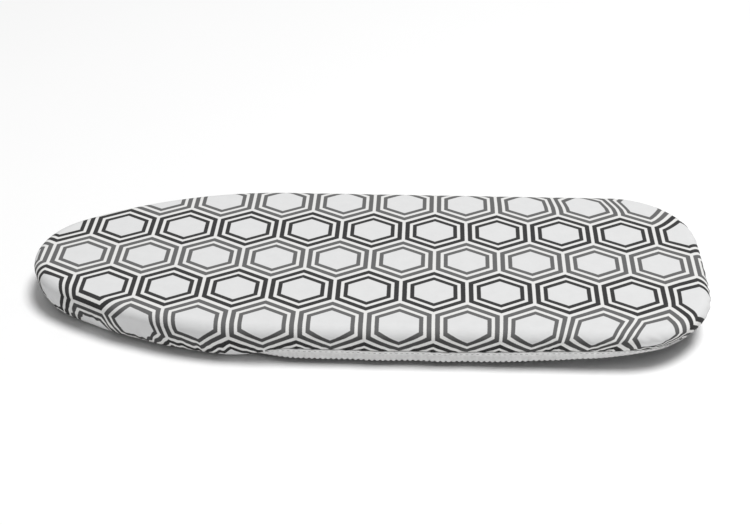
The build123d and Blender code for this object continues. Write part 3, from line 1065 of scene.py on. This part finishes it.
# ---- operators ----------------------------------------------------------------------------
PAD_COUNT = 420  # points round the pad
PAD_SKIN = 0.0016  # the pad stays this far inside the cover
PAD_BEND = 0.004  # bevel between the pad's underside and its turned-down edge
PAD_MIN = 0.0012  # least thickness of that edge
DISC_RINGS = 8


def disc(ring):
    """Rings that close a loop towards the board's centre line, from there outwards."""
    share = np.linspace(0.0, 1.0, DISC_RINGS + 1)[:-1]
    anchor = np.column_stack([centre_line(ring[:, 0]), np.zeros(len(ring)), ring[:, 2]])
    return anchor[:, None, :] + (ring - anchor)[:, None, :] * share[None, :, None]


class BOARD_OT_pad(bpy.types.Operator):
    """Felt pad turned down over the rim"""

    bl_idname = "ironing_board.pad"
    bl_label = "Felt Pad"

    def execute(self, context):
        edge = Edge(settings().shape, PAD_COUNT)
        outer = edge.pad_outer(PAD_SKIN)
        wall = RIM_LOW.x - COVER_LOW.x - 0.0003
        under = PAD_HIGH.z - 0.0050
        inner = np.array(
            [
                [wall, PAD_LOW.z],
                [wall, under - PAD_BEND],
                [wall + PAD_BEND * 0.3, under - PAD_BEND * 0.3],
                [wall + PAD_BEND, under],
            ]
        )
        path = np.concatenate([outer, inner])
        depth = np.clip((TOP_Z - path[:, 1]) / (TOP_Z - HEM_Z), 0.0, 1.0)
        drawn = edge.tug(depth)
        drawn[len(outer):] = 0.0
        xy = edge.points[:, None, :] - edge.normals[:, None, :] * path[None, :, :1]
        xy = xy + edge.pull[:, None, :] * drawn[None, :, None]

        # where the cloth is drawn in hard, the pad is squeezed against the rim but not into it
        limit = edge.points[:, None, :] - edge.normals[:, None, :] * (wall - PAD_MIN)
        over = np.einsum("ijk,ik->ij", xy - limit, edge.normals) < 0
        over[:, len(outer):] = False
        xy = np.where(over[:, :, None], limit, xy)
        z = path[:, 1] + edge.lift(depth)
        rim = np.concatenate([xy, z[:, :, None]], axis=2)

        rings = np.concatenate([disc(rim[:, 0]), rim, disc(rim[:, -1])[:, ::-1]], axis=1)
        points = rings.transpose(1, 0, 2).reshape(-1, 3)
        pad = add_mesh("felt_pad", points, ring_faces(edge.count, rings.shape[1]))
        give(pad, needle_felt())
        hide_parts("foam_pad")
        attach(pad, "board")
        return {"FINISHED"}


class BOARD_OT_cover(bpy.types.Operator):
    """Printed cotton cover, its elastic hem and the stitches that join them"""

    bl_idname = "ironing_board.cover"
    bl_label = "Printed Cover and Elastic Hem"

    def execute(self, context):
        own = settings()
        cloth = Cloth(own.shape, own.cover).build("printed_cover")
        cloth = thicken(cloth, own.cover.thickness)
        give(cloth, printed_cotton())
        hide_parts("cover")
        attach(cloth, "board")

        tape = Hem(own.shape, own.hem)
        elastic = thicken(tape.build("elastic_tape"), TAPE_WALL)
        give(elastic, woven_elastic())
        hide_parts("hem_elastic")
        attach(elastic, "board")

        line = path_object("seam_stitches", tape.line(STITCH_LINE, THREAD_PROUD))
        sizes = {
            "Pitch": own.hem.stitch,
            "Stitch": own.hem.stitch * STITCH_SHARE,
            "Thread": own.hem.thread,
            "Seed": 3,
            "Material": sewing_thread(),
        }
        stitches = stitch_tree().run(line, sizes)
        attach(stitches, "board")

        return {"FINISHED"}


class BOARD_OT_frame(bpy.types.Operator):
    """Finishes of the steel frame, legs, rivets, saddles and feet"""

    bl_idname = "ironing_board.frame"
    bl_label = "Frame and Legs"

    def execute(self, context):
        own = settings().hardware
        bare_steel = (0.34, 0.33, 0.32)
        bright_zinc = (0.75, 0.76, 0.78)
        bright_alloy = (0.80, 0.80, 0.80)
        paint = coated_steel("powder_coat", tuple(own.paint), bare_steel, 0.05, 1500.0, 0.42)
        zinc = coated_steel("zinc_plate", tuple(own.zinc), bright_zinc, 0.10, 700.0, 0.36, 1.0)
        alloy = coated_steel(
            "rivet_alloy_finish", tuple(own.alloy), bright_alloy, 0.12, 900.0, 0.30, 1.0
        )
        rubber = moulded("foot_rubber_finish", tuple(own.rubber), 1300.0, 0.74)
        plastic = moulded("saddle_plastic_finish", tuple(own.plastic), 2200.0, 0.48)
        finish = {
            "rim_frame": paint,
            "mesh_top": paint,
            "cross_rail": paint,
            "centre_rail": paint,
            "hinge_bracket": zinc,
            "pivot_pin": zinc,
            "bracket_rivets": alloy,
            "saddle_rivets": alloy,
            "leg_saddle": plastic,
            "leg_nose": paint,
            "leg_tail": paint,
            "foot_": rubber,
        }
        for name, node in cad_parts.items():
            for start, material in finish.items():
                if name.startswith(start):
                    if not node.material_slots:
                        raise RuntimeError(name + " has no material slot")
                    for place in node.material_slots:
                        place.material = material
        return {"FINISHED"}


FLOOR_REACH = 30.0
CAMERA_PLACE = (0.0777, -1.4896, 0.9984)
CAMERA_FORWARD = (-0.0387, 0.8413, -0.5392)
CAMERA_ROLL = -0.00541  # radians
CAMERA_LENS = 70.46  # millimetres, on a sensor 36 mm wide


class BOARD_OT_studio(bpy.types.Operator):
    """Pale floor, softbox, room light and camera"""

    bl_idname = "ironing_board.studio"
    bl_label = "Studio"

    def execute(self, context):
        own = settings().studio
        material, net, surface = new_material("studio_floor", 0.9, Specular_IOR_Level=0.1)
        place = net.add("ShaderNodeTexCoord").outputs["Object"]
        tone = net.range(net.noise(place, 3.0, 2.0), 0.3, 0.7, 0.995, 1.0)
        net.put(surface.inputs["Base Color"], net.tinted(tuple(own.floor), tone))

        # seen from below the floor is clear, so that the underside and the open legs show
        below = net.add("ShaderNodeNewGeometry").outputs["Backfacing"]
        clear = net.add("ShaderNodeBsdfTransparent").outputs[0]
        look = {0: below, 1: surface.outputs[0], 2: clear}
        seen = net.add("ShaderNodeMixShader", look).outputs[0]
        net.put(material.node_tree.nodes["Material Output"].inputs["Surface"], seen)
        corners = FLOOR_REACH * np.array([[-1, -1, 0], [1, -1, 0], [1, 1, 0], [-1, 1, 0]])
        floor = add_mesh("studio_floor", corners, np.array([[0, 1, 2, 3]]))
        give(floor, material)

        key = bpy.data.lights.new("softbox", "AREA")
        key.shape = "DISK"
        key.size = own.key_size
        key.energy = own.key
        softbox = bpy.data.objects.new("softbox", key)
        aim = (-Vector(own.key_place)).to_track_quat("-Z", "Y").to_matrix().to_4x4()
        softbox.matrix_world = Matrix.Translation(own.key_place) @ aim
        bpy.context.scene.collection.objects.link(softbox)

        world = bpy.data.worlds.new("room")
        world.use_nodes = True
        room = Net(world.node_tree)
        sky = world.node_tree.nodes["Background"]
        sky.inputs["Color"].default_value = (1.0, 1.0, 1.0, 1.0)
        direct = room.add("ShaderNodeLightPath").outputs["Is Camera Ray"]
        room.put(sky.inputs["Strength"], room.maths("MAXIMUM", direct, own.ambient))
        context.scene.world = world
        context.scene.view_settings.view_transform = "Standard"
        context.scene.view_settings.look = "None"

        lens = bpy.data.cameras.new("camera")
        lens.sensor_width = 36.0
        lens.lens = CAMERA_LENS
        lens.clip_end = 100.0
        camera = bpy.data.objects.new("camera", lens)
        forward = Vector(CAMERA_FORWARD).normalized()
        turn = forward.to_track_quat("-Z", "Y").to_matrix()
        roll = Matrix.Rotation(CAMERA_ROLL, 3, "Z")
        camera.matrix_world = Matrix.Translation(CAMERA_PLACE) @ (turn @ roll).to_4x4()
        bpy.context.scene.collection.objects.link(camera)
        context.scene.camera = camera
        return {"FINISHED"}


class BOARD_PT_panel(bpy.types.Panel):
    """The ironing board's pieces and settings"""

    bl_label = "Ironing Board"
    bl_idname = "BOARD_PT_panel"
    bl_space_type = "VIEW_3D"
    bl_region_type = "UI"
    bl_category = "Ironing Board"

    def draw(self, context):
        layout = self.layout
        for operator in OPERATORS:
            layout.operator(operator.bl_idname)
        own = context.scene.ironing_board
        for part in ("shape", "cover", "hem", "hardware", "studio"):
            box = layout.box()
            box.label(text=part.capitalize())
            group = getattr(own, part)
            for key in group.__annotations__:
                box.prop(group, key)


GROUPS = (BoardShape, CoverCloth, HemBand, HardWare, StudioLight, IroningBoard)
OPERATORS = (BOARD_OT_pad, BOARD_OT_cover, BOARD_OT_frame, BOARD_OT_studio)
CLASSES = (*GROUPS, *OPERATORS, BOARD_PT_panel)


def register():
    for kind in CLASSES:
        bpy.utils.register_class(kind)
    bpy.types.Scene.ironing_board = bpy.props.PointerProperty(type=IroningBoard)


def unregister():
    del bpy.types.Scene.ironing_board
    for kind in reversed(CLASSES):
        bpy.utils.unregister_class(kind)


def main():
    """Builds every piece."""
    register()
    bpy.ops.ironing_board.pad()
    bpy.ops.ironing_board.cover()
    bpy.ops.ironing_board.frame()
    bpy.ops.ironing_board.studio()


if __name__ == "__main__":
    main()
